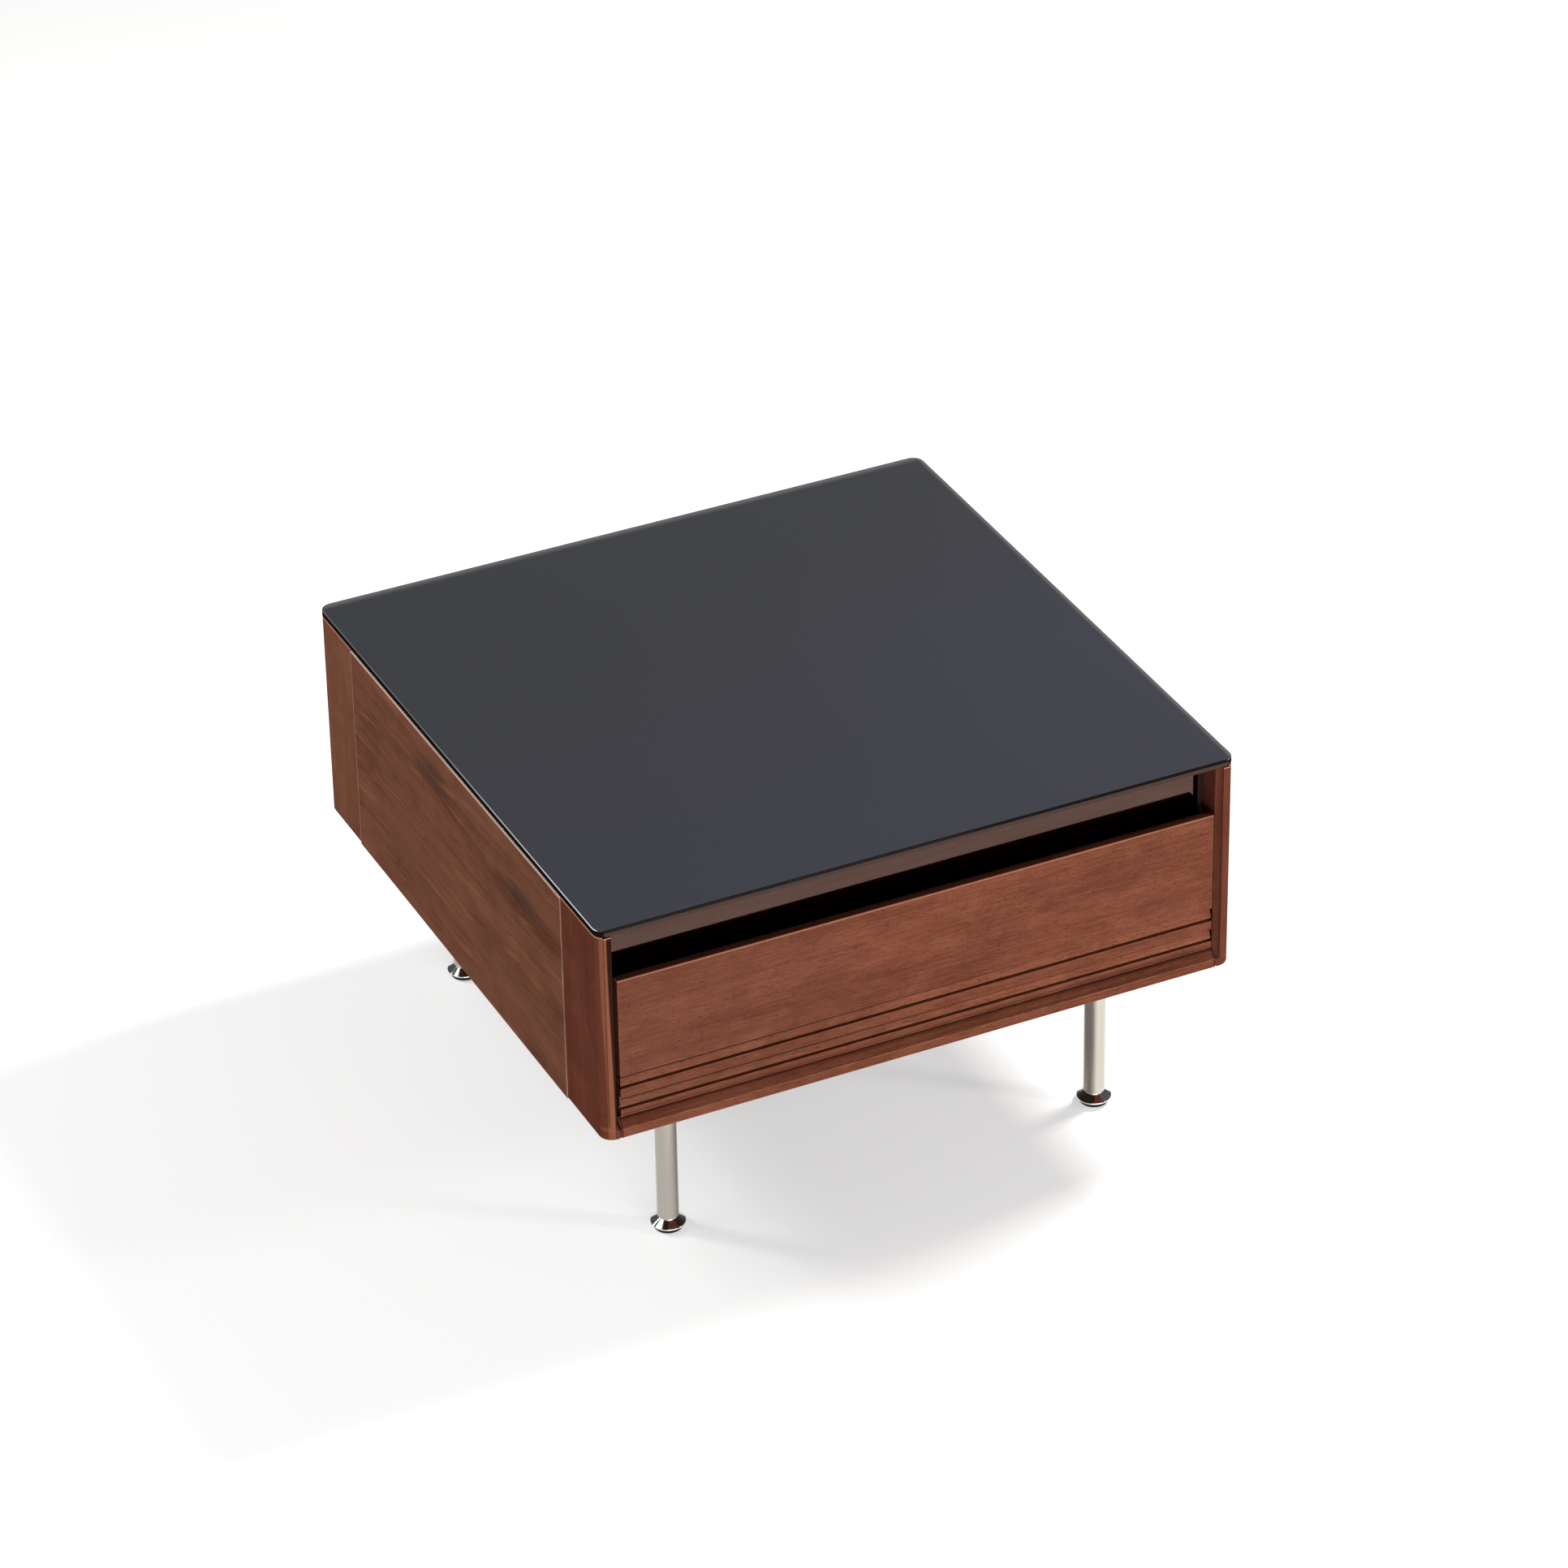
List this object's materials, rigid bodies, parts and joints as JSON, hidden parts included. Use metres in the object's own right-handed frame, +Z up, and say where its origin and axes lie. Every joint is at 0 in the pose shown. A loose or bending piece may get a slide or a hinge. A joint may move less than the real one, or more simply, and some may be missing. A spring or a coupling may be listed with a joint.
{
  "type": "side table with drawer",
  "caption": "Low square side table: dark glass top, walnut box with one full-width drawer opened by a finger gap, round steel legs on adjustable disc feet.",
  "frame": {"origin": "on the floor under the centre of the table, midway between the four feet", "axes": "+Z up, the drawer faces and opens towards -Y, +X to the right when facing the drawer"},
  "size_m": [0.6, 0.6, 0.3735],
  "materials": {
    "dark_glass": "dark tinted tempered glass, polished",
    "bronze_glass": "bronze-tinted mirror glass, polished",
    "clear_pad": "clear soft silicone",
    "post_wood": "solid timber stained dark reddish walnut, satin lacquer, upright grain",
    "panel_wood": "figured walnut veneer, satin lacquer, grain along the depth",
    "front_wood": "reddish walnut, satin lacquer, grain along the width",
    "box_wood": "plain light drawer-box timber",
    "dark_board": "dark stained board",
    "zinc_steel": "zinc-plated steel",
    "brushed_steel": "satin stainless tube",
    "chrome": "polished chrome plate",
    "rubber": "black rubber",
    "nylon": "black nylon"
  },
  "bodies": {
    "carcass": {"glass_top": "dark_glass", "glass_pad_front_left": "clear_pad", "post_front_left": "post_wood", "corner_bracket_front_left": "zinc_steel", "leg_plate_front_left": "zinc_steel", "leg_bolt_front_left": "zinc_steel", "leg_tube_front_left": "brushed_steel", "leg_insert_front_left": "nylon", "glass_pad_front_right": "clear_pad", "post_front_right": "post_wood", "corner_bracket_front_right": "zinc_steel", "leg_plate_front_right": "zinc_steel", "leg_bolt_front_right": "zinc_steel", "leg_tube_front_right": "brushed_steel", "leg_insert_front_right": "nylon", "glass_pad_rear_left": "clear_pad", "post_rear_left": "post_wood", "corner_bracket_rear_left": "zinc_steel", "leg_plate_rear_left": "zinc_steel", "leg_bolt_rear_left": "zinc_steel", "leg_tube_rear_left": "brushed_steel", "leg_insert_rear_left": "nylon", "glass_pad_rear_right": "clear_pad", "post_rear_right": "post_wood", "corner_bracket_rear_right": "zinc_steel", "leg_plate_rear_right": "zinc_steel", "leg_bolt_rear_right": "zinc_steel", "leg_tube_rear_right": "brushed_steel", "leg_insert_rear_right": "nylon", "side_panel_left": "panel_wood", "runner_cabinet_left": "zinc_steel", "side_panel_right": "panel_wood", "runner_cabinet_right": "zinc_steel", "bottom_front_rail": "front_wood", "bottom_panel": "dark_board", "back_panel": "panel_wood", "fascia_strip": "bronze_glass", "top_stretcher_front": "dark_board", "top_stretcher_rear": "dark_board"},
    "drawer": {"drawer_front": "front_wood", "drawer_side_left": "box_wood", "drawer_side_right": "box_wood", "drawer_box_front": "box_wood", "drawer_back": "box_wood", "drawer_floor": "box_wood", "runner_drawer_left": "zinc_steel", "runner_drawer_right": "zinc_steel", "front_fixing_screw_left": "zinc_steel", "front_fixing_screw_right": "zinc_steel"},
    "runner_middle_left": {"runner_middle_left": "zinc_steel"},
    "runner_middle_right": {"runner_middle_right": "zinc_steel"},
    "foot_front_left": {"foot_front_left": "chrome", "foot_pad_front_left": "rubber"},
    "foot_front_right": {"foot_front_right": "chrome", "foot_pad_front_right": "rubber"},
    "foot_rear_left": {"foot_rear_left": "chrome", "foot_pad_rear_left": "rubber"},
    "foot_rear_right": {"foot_rear_right": "chrome", "foot_pad_rear_right": "rubber"}
  },
  "joints": [
    {"name": "drawer_slide", "type": "slide", "parent": "carcass", "child": "drawer", "axis": [0, -1, 0], "range_m": [0, 0.4]},
    {"name": "runner_middle_left_slide", "type": "slide", "parent": "carcass", "child": "runner_middle_left", "axis": [0, -1, 0], "range_m": [0, 0.2]},
    {"name": "runner_middle_right_slide", "type": "slide", "parent": "carcass", "child": "runner_middle_right", "axis": [0, -1, 0], "range_m": [0, 0.2]},
    {"name": "foot_front_left_height", "type": "slide", "parent": "carcass", "child": "foot_front_left", "axis": [0, 0, -1], "range_m": [0, 0.008]},
    {"name": "foot_front_right_height", "type": "slide", "parent": "carcass", "child": "foot_front_right", "axis": [0, 0, -1], "range_m": [0, 0.008]},
    {"name": "foot_rear_left_height", "type": "slide", "parent": "carcass", "child": "foot_rear_left", "axis": [0, 0, -1], "range_m": [0, 0.008]},
    {"name": "foot_rear_right_height", "type": "slide", "parent": "carcass", "child": "foot_rear_right", "axis": [0, 0, -1], "range_m": [0, 0.008]}
  ],
  "couplings": [
    {"joint": "runner_middle_left_slide", "follows": "drawer_slide", "ratio": 0.5},
    {"joint": "runner_middle_right_slide", "follows": "drawer_slide", "ratio": 0.5}
  ]
}
